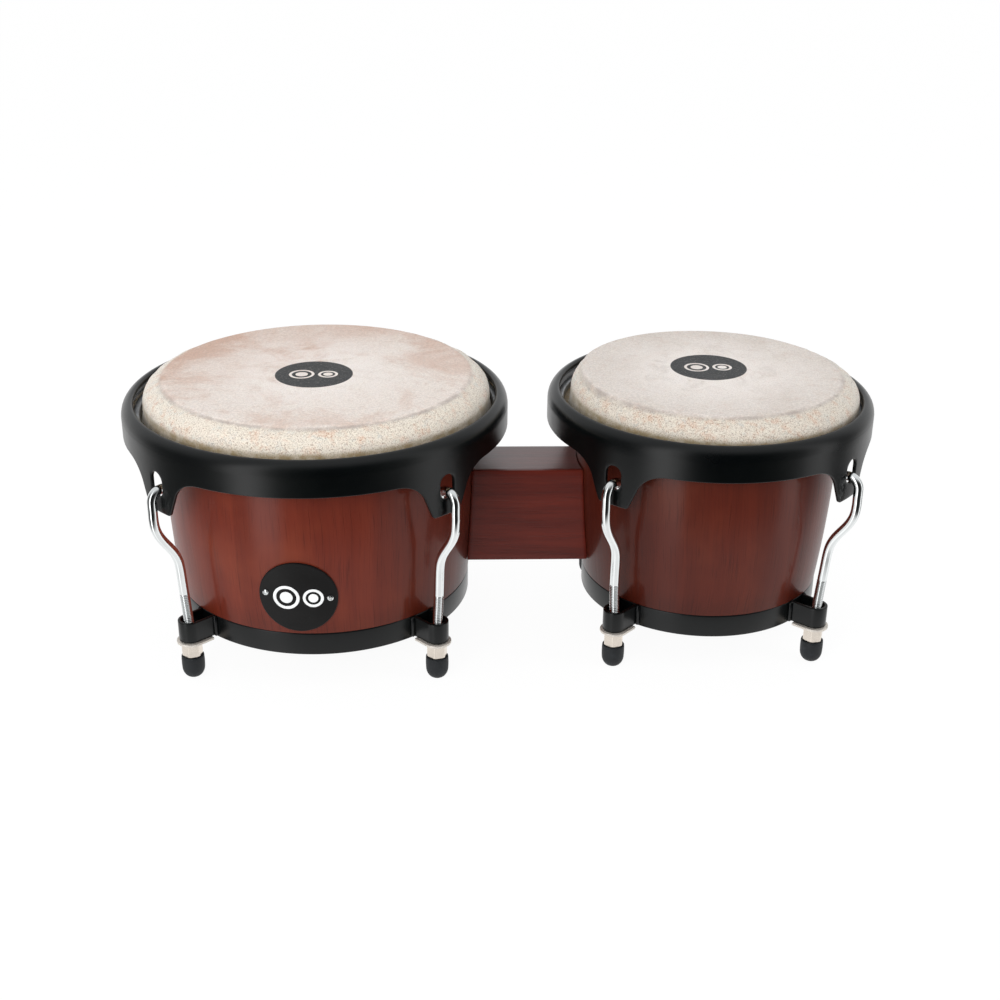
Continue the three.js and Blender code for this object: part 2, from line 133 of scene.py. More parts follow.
class Body:
    """Collects patches of points and makes one closed mesh object from them."""

    def __init__(self):
        self.points = []
        self.faces = []
        self.count = 0

    def patch(self, points, wrap_rows=False, keep=None):
        points = np.asarray(points, float)
        rows, cols = points.shape[:2]
        faces = grid_faces(rows, cols, wrap_rows)
        if keep is not None:
            faces = faces[keep.ravel()]
        self.faces.append(faces + self.count)
        self.points.append(points.reshape(-1, 3))
        self.count += rows * cols
        return self

    def make(self, name, finish, body, *nodes, weld=0.004, angle=40):
        """An object in a finish (material, slot name; the slot name is not used), riding on a CAD body in
        place of CAD nodes.
        """
        material, slot = finish
        mesh = bpy.data.meshes.new(name)
        points = np.concatenate(self.points) * MM
        mesh.from_pydata(points.tolist(), [], np.concatenate(self.faces).tolist())
        bm = bmesh.new()
        bm.from_mesh(mesh)
        bmesh.ops.remove_doubles(bm, verts=bm.verts, dist=weld * MM)
        bmesh.ops.dissolve_degenerate(bm, edges=bm.edges, dist=1e-8)
        bmesh.ops.recalc_face_normals(bm, faces=bm.faces)
        bm.to_mesh(mesh)
        bm.free()
        mesh.shade_smooth()
        mesh.set_sharp_from_angle(angle=math.radians(angle))
        mesh.materials.append(material)
        obj = link(name, mesh)
        if body:
            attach(obj, body)
        if nodes:
            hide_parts(*nodes)
        return obj


def polar(radius, azimuth, z, centre):
    """Points from a radius, an azimuth counted from the front (-Y) towards +X, and a height."""
    radius, azimuth, z = np.broadcast_arrays(radius, azimuth, z)
    x = centre[0] + radius * np.sin(azimuth)
    y = centre[1] - radius * np.cos(azimuth)
    return np.stack([x, y, z], -1)


def lug_place(drum, label):
    """A lug's distance from the drum's axis, and its direction counted from +X."""
    x, y = drum["lugs"][label]
    return math.hypot(x, y), math.atan2(y, x)


def turned(drum, turn, x, y):
    """Where points given along and across a lug's direction lie in the frame."""
    c, s = math.cos(turn), math.sin(turn)
    return x * c - y * s + drum["centre"][0], x * s + y * c + drum["centre"][1]


def bezier(a, b, c, steps):
    """Points along the curve that leaves a towards b and ends at c."""
    a, b, c = (np.asarray(p, float) for p in (a, b, c))
    return [(1 - t) ** 2 * a + 2 * t * (1 - t) * b + t * t * c for t in np.linspace(0, 1, steps)]


def rounded(points, radius, steps=4):
    """A closed outline with each corner softened by up to a radius."""
    points = np.asarray(points, float)
    radii = np.broadcast_to(radius, len(points))
    out = []
    for i, p in enumerate(points):
        back, ahead = points[i - 1] - p, points[(i + 1) % len(points)] - p
        la, lb = np.linalg.norm(back), np.linalg.norm(ahead)
        cut = min(radii[i], 0.45 * la, 0.45 * lb)
        out += bezier(p + back / la * cut, p, p + ahead / lb * cut, steps)
    return np.array(out)


def soften(points):
    """An open outline with its corners cut three times over, its ends kept."""
    points = np.asarray(points, float)
    for _ in range(3):
        a, b = points[:-1], points[1:]
        mid = np.stack([0.75 * a + 0.25 * b, 0.25 * a + 0.75 * b], 1).reshape(-1, points.shape[1])
        points = np.concatenate([points[:1], mid, points[-1:]])
    return points


def lathe(body, profile, centre, segments=192, closed=True):
    profile = np.asarray(profile, float)
    azimuth = np.arange(segments) * TAU / segments
    points = polar(profile[:, None, 0], azimuth, profile[:, None, 1], centre)
    return body.patch(points, wrap_rows=closed)


def path_frames(path):
    """Two unit vectors across a path at each of its points, with no twist between them."""
    tangents = np.gradient(path, axis=0)
    tangents /= np.linalg.norm(tangents, axis=1)[:, None]
    across = np.cross(tangents[0], [0.0, 1.0, 0.0])
    if np.linalg.norm(across) < 1e-3:
        across = np.cross(tangents[0], [1.0, 0.0, 0.0])
    sides = []
    for t in tangents:
        across = across - t * (across @ t)
        across /= np.linalg.norm(across)
        sides.append(across.copy())
    sides = np.array(sides)
    return sides, np.cross(tangents, sides)


def sweep(body, path, radius, sides=20):
    """A round bar along a path. Radius is one number per point, or one per point and side."""
    u, v = path_frames(path)
    a = np.arange(sides) * TAU / sides
    radius = np.asarray(radius, float)
    if radius.ndim == 1:
        radius = radius[:, None]
    ring = np.cos(a)[None, :, None] * u[:, None] + np.sin(a)[None, :, None] * v[:, None]
    return body.patch(path[:, None] + ring * radius[..., None])


def polar_prism(body, sections, centre, turn=0.0, segments=72):
    """A closed body about an upright axis. A section is a radius and a height, as numbers or of angle."""
    a = np.arange(segments) * TAU / segments
    rows = []
    for radius, z in sections:
        r = radius(a) if callable(radius) else np.full(segments, float(radius))
        h = z(a) if callable(z) else np.full(segments, float(z))
        rows.append(polar(r, a + turn, h, centre))
    return body.patch(rows, wrap_rows=True)


# ---- node helpers
class Look:
    """The node tree of a material or a world."""

    def __init__(self, owner):
        self.owner = owner
        owner.use_nodes = True
        self.tree = owner.node_tree
        self.tree.nodes.clear()

    def add(self, kind, inputs=None, **settings):
        node = self.tree.nodes.new("ShaderNode" + kind)
        for key, value in settings.items():
            setattr(node, key, value)
        for key, value in (inputs or {}).items():
            self.plug(node.inputs[key], value)
        return node

    def plug(self, socket, value):
        if isinstance(value, bpy.types.NodeSocket):
            self.tree.links.new(value, socket)
        elif isinstance(value, (tuple, list)) and len(value) == 3 and socket.type == "RGBA":
            socket.default_value = (*value, 1.0)
        else:
            socket.default_value = value

    def math(self, operation, a, b=0.0, c=0.0, clamp=False):
        return self.add("Math", {0: a, 1: b, 2: c}, operation=operation, use_clamp=clamp).outputs[0]

    absolute = partialmethod(math, "ABSOLUTE")
    times = partialmethod(math, "MULTIPLY")
    plus = partialmethod(math, "ADD")
    minus = partialmethod(math, "SUBTRACT")
    line = partialmethod(math, "MULTIPLY_ADD")

    def length(self, x, y):
        return self.math("SQRT", self.plus(self.times(x, x), self.times(y, y)))

    def vector(self, x, y, z):
        return self.add("CombineXYZ", {0: x, 1: y, 2: z}).outputs[0]

    def split(self, vector):
        return self.add("SeparateXYZ", {0: vector}).outputs[:3]

    def noise(self, vector, scale, detail=3.0, rough=0.55, twist=0.0):
        inputs = {"Vector": vector, "Scale": scale, "Detail": detail, "Roughness": rough}
        return self.add("TexNoise", {**inputs, "Distortion": twist}).outputs["Fac"]

    def step(self, value, low, high, start=0.0, end=1.0):
        """A smooth step of a value from start to end as it goes from low to high."""
        inputs = {0: value, 1: low, 2: high, 3: start, 4: end}
        return self.add("MapRange", inputs, interpolation_type="SMOOTHSTEP").outputs[0]

    def mix(self, share, a, b, blend="MIX"):
        node = self.add("Mix", data_type="RGBA", blend_type=blend)
        self.plug(node.inputs[0], share)
        self.plug(node.inputs[6], a if isinstance(a, bpy.types.NodeSocket) else (*a, 1.0))
        self.plug(node.inputs[7], b if isinstance(b, bpy.types.NodeSocket) else (*b, 1.0))
        return node.outputs[2]

    def grey(self, level):
        return self.add("CombineColor", {0: level, 1: level, 2: level}).outputs[0]

    def tint(self, colour, factor):
        """A colour made lighter or darker by a number that is 1 where nothing changes."""
        return self.mix(1.0, colour, self.grey(factor), "MULTIPLY")

    def glaze(self, colour, value, steps, tone):
        """A colour covered by another tone as far as the smooth step of a value says."""
        return self.mix(self.step(value, *steps), colour, srgb(*tone))

    def bump(self, height, distance, strength=1.0):
        inputs = {"Height": height, "Distance": distance, "Strength": strength}
        return self.add("Bump", inputs).outputs[0]

    def place(self):
        return self.add("TexCoord").outputs["Object"]

    def surface(self, colour, roughness, normal, **inputs):
        """The owner, given a principled surface. Other inputs are named with underscores for spaces."""
        named = {"Base Color": colour, "Roughness": roughness, "Normal": normal}
        named.update((key.replace("_", " "), value) for key, value in inputs.items())
        shader = self.add("BsdfPrincipled", named)
        self.add("OutputMaterial", {0: shader.outputs[0]})
        return self.owner


def new_look(name):
    return Look(bpy.data.materials.new(name))


def srgb(r, g, b):
    """A linear colour from 0-255 screen values."""
    def linear(c):
        c /= 255
        return c / 12.92 if c <= 0.04045 else ((c + 0.055) / 1.055) ** 2.4
    return linear(r), linear(g), linear(b)


def round_place(look, drum):
    """Distance round a drum, height, distance from its axis, and the two offsets from it, in metres."""
    x, y, z = look.split(look.place())
    cx, cy = drum["centre"] * MM
    dx, dy = look.minus(x, cx), look.minus(y, cy)
    # the cut in the angle is turned to the other drum's side, where the block hides it
    angle = look.math("ARCTAN2", look.times(dy, -drum["side"]), look.times(dx, -drum["side"]))
    around = look.times(angle, drum["shell"] * MM)
    return around, z, look.length(dx, dy), dx, dy


# ---- materials
STAVE_WIDTH = 0.0655


def wood_shell(drum):
    look = new_look(f"{drum['name']}_shell_wood")
    around, z, _, dx, _ = round_place(look, drum)
    seed = 3.0 if drum["name"] == "large" else 11.0
    # straight grain that runs up the shell, wandering a little
    wander = look.noise(look.vector(look.times(around, 0.25), seed, z), 9.0, 2.0)
    drift = look.line(wander, 0.012, around)
    grain_at = look.vector(drift, seed, look.times(z, 0.035))
    broad = look.noise(grain_at, 55.0, 3.0, 0.6)
    fine = look.noise(grain_at, 420.0, 4.0, 0.65)
    pores_at = look.vector(drift, seed, look.times(z, 0.02))
    pores = look.step(look.noise(pores_at, 1500.0, 1.0), 0.56, 0.72)
    cloud = look.noise(look.vector(around, seed, z), 14.0, 3.0, 0.6)
    # staves, each stained a little differently
    stave = look.math("FLOOR", look.math("DIVIDE", look.plus(around, 1.0), STAVE_WIDTH))
    dice = look.add("TexWhiteNoise", noise_dimensions="1D")
    look.plug(dice.inputs["W"], look.plus(stave, seed))
    shade = dice.outputs["Value"]
    colour = look.glaze(srgb(106, 40, 26), broad, (0.28, 0.76), (120, 48, 31))
    colour = look.glaze(colour, fine, (0.35, 0.80, 0.0, 0.35), (88, 36, 27))
    colour = look.glaze(colour, cloud, (0.45, 0.75, 0.0, 0.40), (142, 66, 40))
    # each stave's tone times the wood's lightness, which on the small drum is set lower partly as painted
    # shade
    colour = look.tint(colour, look.line(shade, 0.10, drum["stain"]))
    colour = look.mix(look.times(pores, 0.35), colour, srgb(38, 10, 8))
    # the wood is darker towards the lower edge, and on the block's side it is darkened as painted shade,
    # where the block and the other drum shade it
    colour = look.tint(colour, look.step(z, 0.043, 0.062, 0.80, 1.0))
    # painted shade on the side of the shell that faces the block
    inward = look.times(dx, drum["side"] / (drum["shell"] * MM))
    colour = look.tint(colour, look.step(inward, 0.10, 0.70, 1.0, 0.76))
    height = look.plus(look.times(fine, 0.5), look.times(pores, -0.6))
    orange_peel = look.noise(look.vector(around, seed, z), 90.0, 2.0)
    return look.surface(
        colour,
        look.line(fine, 0.14, 0.34),
        look.bump(height, 0.0001, 0.5),
        Coat_Weight=0.28,
        Coat_Roughness=look.line(cloud, 0.08, 0.07),
        Coat_Normal=look.bump(orange_peel, 0.0003, 0.25),
        Specular_IOR_Level=0.12,
    )


def wood_block():
    look = new_look("block_wood")
    x, y, z = look.split(look.place())
    wander = look.noise(look.vector(x, look.times(y, 2.0), z), 16.0, 2.0)
    at = look.vector(look.times(x, 0.05), y, look.line(wander, 0.008, z))
    broad = look.noise(at, 95.0, 3.0, 0.6)
    fine = look.noise(at, 620.0, 4.0, 0.65)
    pores = look.step(look.noise(look.vector(look.times(x, 0.03), y, z), 1500.0, 1.0), 0.58, 0.72)
    colour = look.glaze(srgb(86, 25, 16), broad, (0.30, 0.75), (106, 34, 21))
    colour = look.glaze(colour, fine, (0.4, 0.8, 0.0, 0.4), (66, 26, 22))
    colour = look.mix(look.times(pores, 0.3), colour, srgb(48, 17, 15))
    height = look.plus(look.times(fine, 0.6), look.times(pores, -0.8))
    # painted highlight: the coat is made stronger on the level top, to give the top the sheen of the light
    # falling on it
    upward = look.split(look.add("NewGeometry").outputs["Normal"])[2]
    return look.surface(
        colour,
        look.line(fine, 0.18, 0.34),
        look.bump(height, 0.00025, 0.6),
        Coat_Weight=look.step(upward, 0.5, 0.9, 0.15, 1.0),
        Coat_Roughness=0.28,
        Specular_IOR_Level=0.25,
    )


def print_mask(look, dx, dy, centre):
    """The ink of the disc printed on a head. A wide and a narrow ring, each round a dot, are left bare."""
    px, py = look.minus(dx, centre[0] * MM), look.minus(dy, centre[1] * MM)

    def distance(ox):
        return look.length(look.minus(px, ox), look.minus(py, 0.0))

    disc = look.step(distance(0.0), 0.0252, 0.0256, 1.0, 0.0)
    for ox, radius in ((-0.0080, 0.0074), (0.0092, 0.0056)):
        away, dot = distance(ox), 0.52 * radius
        off = look.absolute(look.minus(away, radius))
        disc = look.times(disc, look.step(off, 0.0007, 0.0011))
        disc = look.times(disc, look.step(away, dot, dot + 0.0004))
    return disc


# the warmth of each head's clouds, how much it leans to one side, and its pale, tan and mottled tones
HEAD_TONES = {
    "large": (0.9, 1.0, srgb(236, 226, 218), srgb(208, 176, 159), (208, 178, 162)),
    "small": (0.55, 0.5, srgb(226, 218, 211), srgb(206, 195, 185), (203, 191, 179)),
}


def head_skin(drum):
    name = drum["name"]
    look = new_look(f"{name}_head_skin")
    _, z, radius, dx, dy = round_place(look, drum)
    large = name == "large"
    edge = (drum["skin"] - CREASE_INSET) * MM
    at = look.vector(dx, dy, look.line(z, 1.0, 2.0 if large else 21.0))
    fibre_at = look.vector(look.times(dx, 0.25), dy, z)
    clouds = look.noise(at, 16.0, 5.0, 0.62, 0.6)
    mottle = look.noise(at, 55.0, 5.0, 0.7, 0.8)
    blotch = look.noise(at, 130.0, 4.0, 0.65)
    patchy = look.noise(at, 170.0, 4.0, 0.7, 0.4)
    fibre = look.noise(fibre_at, 420.0, 4.0, 0.7, 0.5)
    speck = look.noise(at, 520.0, 5.0, 0.8)
    fleck = look.step(look.noise(at, 900.0, 2.0), 0.62, 0.75)
    grain = look.noise(at, 1300.0, 3.0, 0.7)
    # pale skin with warm clouds, stronger towards the back and left of the large head
    warmth, leaning, pale, tan, mottled = HEAD_TONES[name]
    lean = look.line(dy, 4.0, look.times(dx, -2.2))
    warm = look.plus(look.step(clouds, 0.40, 0.68), look.times(lean, leaning))
    colour = look.mix(look.times(warm, warmth, clamp=True), pale, tan)
    colour = look.glaze(colour, mottle, (0.5, 0.8, 0.0, 0.45), mottled)
    colour = look.glaze(colour, fibre, (0.52, 0.82, 0.0, 0.30), (205, 186, 168))
    colour = look.tint(colour, look.step(speck, 0.30, 0.70, 0.82, 1.12))
    colour = look.glaze(colour, patchy, (0.50, 0.75, 0.0, 0.42), (198, 172, 158))
    colour = look.glaze(colour, patchy, (0.20, 0.45, 0.40, 0.0), (240, 233, 229))
    # a paler, worn middle
    worn = look.step(radius, 0.02, 0.092, 0.72, 0.0)
    colour = look.mix(look.times(worn, look.step(mottle, 0.25, 0.6)), colour, srgb(250, 243, 238))
    colour = look.glaze(colour, grain, (0.34, 0.54, 0.34, 0.0), (178, 154, 138))
    # the skirt is hairier and yellower, brown near its lower edge
    skirt = look.step(radius, edge - 0.001, edge + 0.002)
    side = look.glaze(srgb(220, 210, 196), blotch, (0.48, 0.70, 0.0, 0.8), (208, 166, 138))
    side = look.glaze(side, patchy, (0.50, 0.70, 0.0, 0.7), (196, 198, 194))
    side = look.glaze(side, grain, (0.46, 0.58, 0.0, 0.7), (244, 236, 222))
    side = look.glaze(side, grain, (0.32, 0.47, 0.8, 0.0), (140, 108, 84))
    low = look.step(z, 0.1700, 0.1738, 0.85, 0.0)
    side = look.mix(look.times(low, look.step(blotch, 0.3, 0.6, 0.5, 1.0)), side, srgb(150, 130, 90))
    colour = look.mix(skirt, colour, side if large else look.tint(side, 0.90))
    # a blue-grey shadow line where the skin bends over the shell
    bend = look.absolute(look.minus(radius, edge + 0.0004))
    wobble = look.line(look.noise(at, 90.0, 3.0), 0.004, 0.0004)
    crease = look.times(look.step(bend, 0.0002, wobble, 0.5, 0.0), look.step(mottle, 0.35, 0.6, 0.2, 1.0))
    crease = look.times(crease, look.step(dy, -0.5 * edge, 0.1 * edge, 1.0, 0.15))
    colour = look.mix(crease, colour, srgb(142, 128, 124))
    colour = look.mix(look.times(fleck, 0.25), colour, srgb(150, 120, 100))
    # ink, scuffed thin here and there
    ink = look.times(print_mask(look, dx, dy, drum["print"]), look.step(z, 0.1836, 0.1838))
    ink = look.times(ink, look.step(look.noise(at, 700.0, 4.0, 0.75), 0.50, 0.72, 1.0, 0.84))
    colour = look.mix(ink, colour, srgb(34, 36, 38))
    hair = look.times(grain, look.line(skirt, 0.85, 0.15))
    height = look.plus(look.plus(look.times(fibre, 0.35), hair), look.times(mottle, 0.6))
    return look.surface(
        colour,
        look.line(ink, -0.12, look.line(mottle, 0.2, 0.52)),
        look.bump(height, 0.0004, 0.5),
        Subsurface_Weight=0.08,
        Subsurface_Radius=(0.004, 0.0025, 0.0015),
        Subsurface_Scale=0.4,
        Sheen_Weight=look.times(skirt, 0.35),
        Sheen_Roughness=0.5,
        Specular_IOR_Level=0.35,
    )


def powder_coat():
    look = new_look("black_coat")
    at = look.place()
    texture = look.noise(at, 1600.0, 3.0, 0.6)
    ripple = look.noise(at, 160.0, 2.0)
    cloud = look.noise(at, 22.0, 3.0)
    dust = look.step(look.noise(at, 700.0, 5.0, 0.7), 0.60, 0.80)
    colour = look.glaze(srgb(3, 5, 6), cloud, (0.35, 0.7), (7, 10, 10))
    colour = look.mix(look.times(dust, 0.04), colour, srgb(80, 86, 84))
    return look.surface(
        colour,
        look.line(cloud, 0.10, 0.24),
        look.bump(look.line(ripple, 0.6, texture), 0.00010, 0.3),
        Coat_Weight=0.1,
        Coat_Roughness=0.2,
        Specular_IOR_Level=0.30,
    )


def bright_metal(name, colour, roughness, wear, scale, groove_shade=0.0, metal=1.0):
    """A metal, smeared and scratched a little. The groove shade says how dark its sharp hollows get, as
    painted shade.
    """
    look = new_look(name)
    at = look.place()
    smear = look.noise(at, scale, 4.0, 0.6)
    scratch_at = look.vector(*[look.times(c, k) for c, k in zip(look.split(at), (6.0, 6.0, 0.5))])
    scratch = look.noise(scratch_at, 500.0, 2.0)
    tone = look.mix(look.step(smear, 0.4, 0.75, 0.0, wear), colour, tuple(0.6 * c for c in colour))
    # painted shade: sharp hollows, such as thread grooves and the screws' cross recesses, are darkened
    hollow = look.add("NewGeometry").outputs["Pointiness"]
    tone = look.tint(tone, look.step(hollow, 0.38, 0.49, 1.0 - groove_shade, 1.0))
    return look.surface(
        tone,
        look.line(smear, roughness, roughness * 0.7),
        look.bump(scratch, 0.00004, 0.25),
        Metallic=metal,
    )


def foot_rubber():
    look = new_look("foot_rubber")
    at = look.place()
    grain = look.noise(at, 1500.0, 3.0)
    bloom = look.noise(at, 120.0, 4.0, 0.65)
    colour = look.glaze(srgb(24, 27, 30), bloom, (0.45, 0.75, 0.0, 0.7), (44, 48, 52))
    return look.surface(
        colour,
        look.line(bloom, 0.2, 0.5),
        look.bump(grain, 0.0001, 0.35),
        Specular_IOR_Level=0.4,
    )


def enamel(name, dark, light, roughness):
    look = new_look(name)
    at = look.place()
    orange_peel = look.noise(at, 900.0, 2.0)
    cloud = look.noise(at, 60.0, 4.0)
    specks = look.step(look.noise(at, 1800.0, 3.0), 0.66, 0.74, 0.0, 0.2)
    colour = look.mix(look.step(cloud, 0.35, 0.7), dark, light)
    colour = look.mix(specks, colour, tuple(min(1.0, c + 0.12) for c in light))
    return look.surface(
        colour,
        look.line(cloud, 0.12, roughness),
        look.bump(orange_peel, 0.00008, 0.3),
        Specular_IOR_Level=0.2,
    )


# a finish is a material and the name of its slot
COAT = powder_coat(), "black_coat"
CHROME = bright_metal("chrome", srgb(238, 241, 241), 0.07, 0.10, 90.0, groove_shade=0.85), "chrome"
NICKEL = bright_metal("nickel", srgb(236, 226, 214), 0.24, 0.12, 240.0), "nickel"
SATIN = bright_metal("satin_nickel", srgb(226, 219, 210), 0.40, 0.25, 240.0, metal=0.55), "nickel"
STEEL = bright_metal("plain_steel", srgb(176, 178, 180), 0.42, 0.5, 140.0), "plain_steel"
RUBBER = foot_rubber(), "foot_rubber"
BADGE_BLACK = enamel("badge_coat", srgb(13, 12, 12), srgb(19, 18, 18), 0.36), "badge_coat"
BADGE_WHITE = enamel("badge_ink", srgb(236, 238, 238), srgb(250, 251, 251), 0.35), "badge_coat"


# ---- shell, ring and brackets
def build_shell(drum):
    name = drum["name"]
    low, high = drum["shell_z"]
    rebate = drum["ring"] - 2.7
    inner = rebate - 5.3
    step = drum["ring_z"][1] + 0.3
    outside = [(float(shell_radius(drum, z)), z) for z in np.linspace(step, BELLY, 26)]
    inside = [(r - WALL, z) for r, z in reversed(outside)]
    edge = 5
    crest = drum["shell"] - edge
    turns = np.linspace(0, math.pi / 2, 10)
    rim = [(crest + edge * math.cos(a), high - edge + edge * math.sin(a)) for a in turns]
    foot = rounded([(inner, low), (rebate, low), (rebate, step - 0.02)], 0.6, 3)
    lip = [(inner, step), (inner, low + 0.6), (inner + 0.5, low)]
    profile = [*foot[3:], *outside, *rim, (crest - 3, high), (drum["shell"] - WALL, high - 12)]
    body = lathe(Body(), [*profile, *inside[:-1], *lip], drum["centre"], 256)
    finish = wood_shell(drum), "shell_wood"
    body.make(f"{name}_shell_turned", finish, "drum_base", f"{name}_shell", angle=50)


STRAP_HALF = 1.15
STRAP_BEND = 6.6
WELD_ASIDE = 8.6


def strap_path(reach):
    """The middle line of a bracket round a lug's axis at the origin, its ends spread a little on the ring."""
    mid = STRAP_BEND
    points = [(-reach, -mid - 1.7), (-reach + 1.2, -mid - 0.5), (-reach + 3, -mid), (-0.5, -mid)]
    arc = [(mid * math.cos(a), mid * math.sin(a)) for a in np.linspace(-math.pi / 2, math.pi / 2, 21)]
    back = [(x, -y) for x, y in reversed(points)]
    return np.array([*points, *arc, *back])


def strap_patch(body, drum, label):
    distance, turn = lug_place(drum, label)
    path = strap_path(distance - drum["ring"] + 1.4)
    low, high = drum["ring_z"][0] + 1.0, drum["ring_z"][1] - 0.1
    half = STRAP_HALF
    section = rounded([(-half, low), (half, low), (half, high), (-half, high)], 0.55, 4)
    pairs = zip(path, normals(np.gradient(path, axis=0)))
    rows = [np.concatenate([p + n * section[:, :1], section[:, 1:]], 1) for p, n in pairs]
    first, last = (np.tile([*path[i], (low + high) / 2], (len(section), 1)) for i in (0, -1))
    rows = np.array([first, *rows, last])
    rows[..., 0], rows[..., 1] = turned(drum, turn, rows[..., 0] + distance, rows[..., 1])
    body.patch(rows)
    # the weld where each end of the bracket meets the ring
    bead = [(0, low - 0.3), (0.9, low), (1.5, low + 0.8), (1.5, high - 0.8), (0.9, high), (0, high + 0.2)]
    for side in (-1, 1):
        at = turned(drum, turn, drum["ring"] + 0.2, side * WELD_ASIDE)
        lathe(body, bead, at, 16, closed=False)


def build_ring(drum):
    name = drum["name"]
    low, high = drum["ring_z"]
    outer = drum["ring"]
    inner, lip, shelf = outer - 2.4, outer - 9, low + 1.9
    corners = [(outer, low), (outer, high), (inner, high), (inner, shelf), (lip, shelf), (lip, low)]
    body = lathe(Body(), rounded(corners, [0.9, 0.8, 0.6, 0.6, 0.6, 0.6]), drum["centre"], 224)
    for label in LUGS:
        strap_patch(body, drum, label)
    body.make(f"{name}_ring_and_brackets", COAT, "drum_base", f"{name}_bottom_ring", angle=55)


# ---- lug hardware
def smooth_path(points, per=14):
    """A Catmull-Rom curve through the points."""
    p = np.asarray(points, float)
    p = np.concatenate([2 * p[:1] - p[1:2], p, 2 * p[-1:] - p[-2:-1]])
    t = np.linspace(0, 1, per, endpoint=False)[:, None]
    out = []
    for a, b, c, d in zip(p, p[1:], p[2:], p[3:]):
        bend = (2 * a - 5 * b + 4 * c - d) * t**2 + (3 * b - a - 3 * c + d) * t**3
        out.append(0.5 * (2 * b + (c - a) * t + bend))
    return np.concatenate([*out, p[-2:-1]])


THREAD_LOW = 25.5
THREAD_TOP = 62.0
THREAD_PITCH = 1.27
ROD_RADIUS = 3.1
# a hook bolt's middle line as (distance outwards, height): the rod, the ends of its double bend, and the
# radius, middle height, turn and straight tip of its hook
ROD = [(0, 8.6), (0, 18), (0, 26), (0.2, 33), (0.75, 42), (1.35, 50), (2.2, 62), (2.8, 72)]
BEND_START, BEND_END = (3.3, 80.0), (19.0, 119.0)
HOOK_RADIUS, HOOK_HEIGHT, HOOK_TURN, HOOK_TIP = 7.3, 130.6, math.radians(160), 2.5


def hook_path(sway):
    """The middle line of a hook bolt at the origin, its hook moved aside by a distance."""
    (lean, start), (reach, end) = BEND_START, BEND_END
    rise = (end - start) * 0.45
    q = np.array([(lean, start), (lean + 0.8, start + rise), (reach, end - rise), (reach, end)])
    t = np.linspace(0, 1, 9)[:, None]
    bend = (1 - t) ** 3 * q[0] + 3 * t * (1 - t) ** 2 * q[1] + 3 * t * t * (1 - t) * q[2] + t**3 * q[3]
    a = np.linspace(0, HOOK_TURN, 12)[:, None]
    middle = np.array([reach - HOOK_RADIUS, HOOK_HEIGHT])
    hook = middle + HOOK_RADIUS * np.concatenate([np.cos(a), np.sin(a)], 1)
    tip = hook[-1] + HOOK_TIP * np.array([-math.sin(HOOK_TURN), math.cos(HOOK_TURN)])
    flat = smooth_path([*ROD, *bend, (reach, 125.0), *hook, tip])
    step = np.clip((flat[:, 1] - 45) / (end - 45), 0, 1)
    step[len(flat) * 3 // 4:] = 1
    return np.stack([flat[:, 0], sway * step**2 * (3 - 2 * step), flat[:, 1]], 1)


def build_hook(drum, label):
    name = drum["name"]
    distance, turn = lug_place(drum, label)
    # the hook stands in the middle of its ear, which is turned a little from the lug
    ear = math.radians(drum["ear_turn"] - (math.degrees(turn) + 360) % 90 + 45)
    path = hook_path((distance + BEND_END[0]) * math.sin(ear))
    lengths = np.concatenate([[0], np.cumsum(np.linalg.norm(np.diff(path, axis=0), axis=1))])
    end = lengths[-1]
    thread_end = THREAD_TOP + 2 - path[0, 2]
    fine = np.arange(17.5, thread_end, 1 / 6)
    coarse = np.arange(thread_end, end - 1.5, 0.8)
    at = np.concatenate([[0, 0, 0.5, 4, 10, 15], fine, coarse, [end - 1.0, end - 0.45, end - 0.12, end]])
    path = np.stack([np.interp(at, lengths, path[:, i]) for i in range(3)], 1)
    # keeps the first two points apart, so the path has a direction everywhere
    path[1:, 2] += np.arange(1, len(path)) * 1e-7
    sides = 24
    z = path[:, 2][:, None]
    phase = (z / THREAD_PITCH - np.arange(sides) / sides) % 1
    cut = np.clip(np.abs(phase * 2 - 1) * 1.5 - 0.25, 0, 1)
    in_thread = np.clip((THREAD_TOP - z) / 1.5, 0, 1) * np.clip((z - THREAD_LOW) / 0.5, 0, 1)
    in_thread = in_thread * (at[:, None] < thread_end)
    radius = ROD_RADIUS + (0.15 - 0.6 * cut) * in_thread
    radius[:3] = np.array([0, 2.4, 2.95])[:, None]
    radius[-4:] = np.array([2.95, 2.5, 1.6, 0])[:, None]
    body = sweep(Body(), path, radius, sides)
    pts = body.points[0]
    pts[:, 0], pts[:, 1] = turned(drum, turn, pts[:, 0] + distance, pts[:, 1])
    piece, node = f"{name}_hook_bolt_{label}", f"{name}_hook_{label}"
    body.make(piece, CHROME, f"{name}_rim", node, weld=0.0005, angle=60)


def hex_radius(flats, most):
    """A hexagon's radius as a function of angle, its corners turned down to a circle."""
    def radius(a):
        within = (a + math.pi / 6) % (math.pi / 3) - math.pi / 6
        return np.minimum(flats / 2 / np.cos(within), most)
    return radius


def build_plate(drum, label, at, turn):
    name = drum["name"]
    low, high = (h[2] for h in box_mm(f"{name}_plate_{label}"))

    def outline(inset):
        """The flat inner edge, the two straight sides and the round nose."""
        def radius(a):
            x, y = np.sin(a), -np.cos(a)
            side = (9.4 - inset) / np.maximum(np.abs(y), 1e-6)
            back = (11.6 - inset) / np.maximum(-x, 1e-6)
            return np.where(x >= 0, 9.4 - inset, np.minimum(side, back))
        return radius

    bore = [(3.9, high), (3.7, high - 0.2), (3.7, low + 0.2), (3.9, low)]
    up = [(outline(0.0), low + 0.35), (outline(0.0), high - 0.35), (outline(0.12), high - 0.1)]
    down = [(outline(0.4), low), (outline(0.12), low + 0.1)]
    body = polar_prism(Body(), [*up, (outline(0.4), high), *bore, *down], at, turn, 144)
    body.make(f"{name}_plate_pressed_{label}", SATIN, "drum_base", f"{name}_plate_{label}", angle=35)


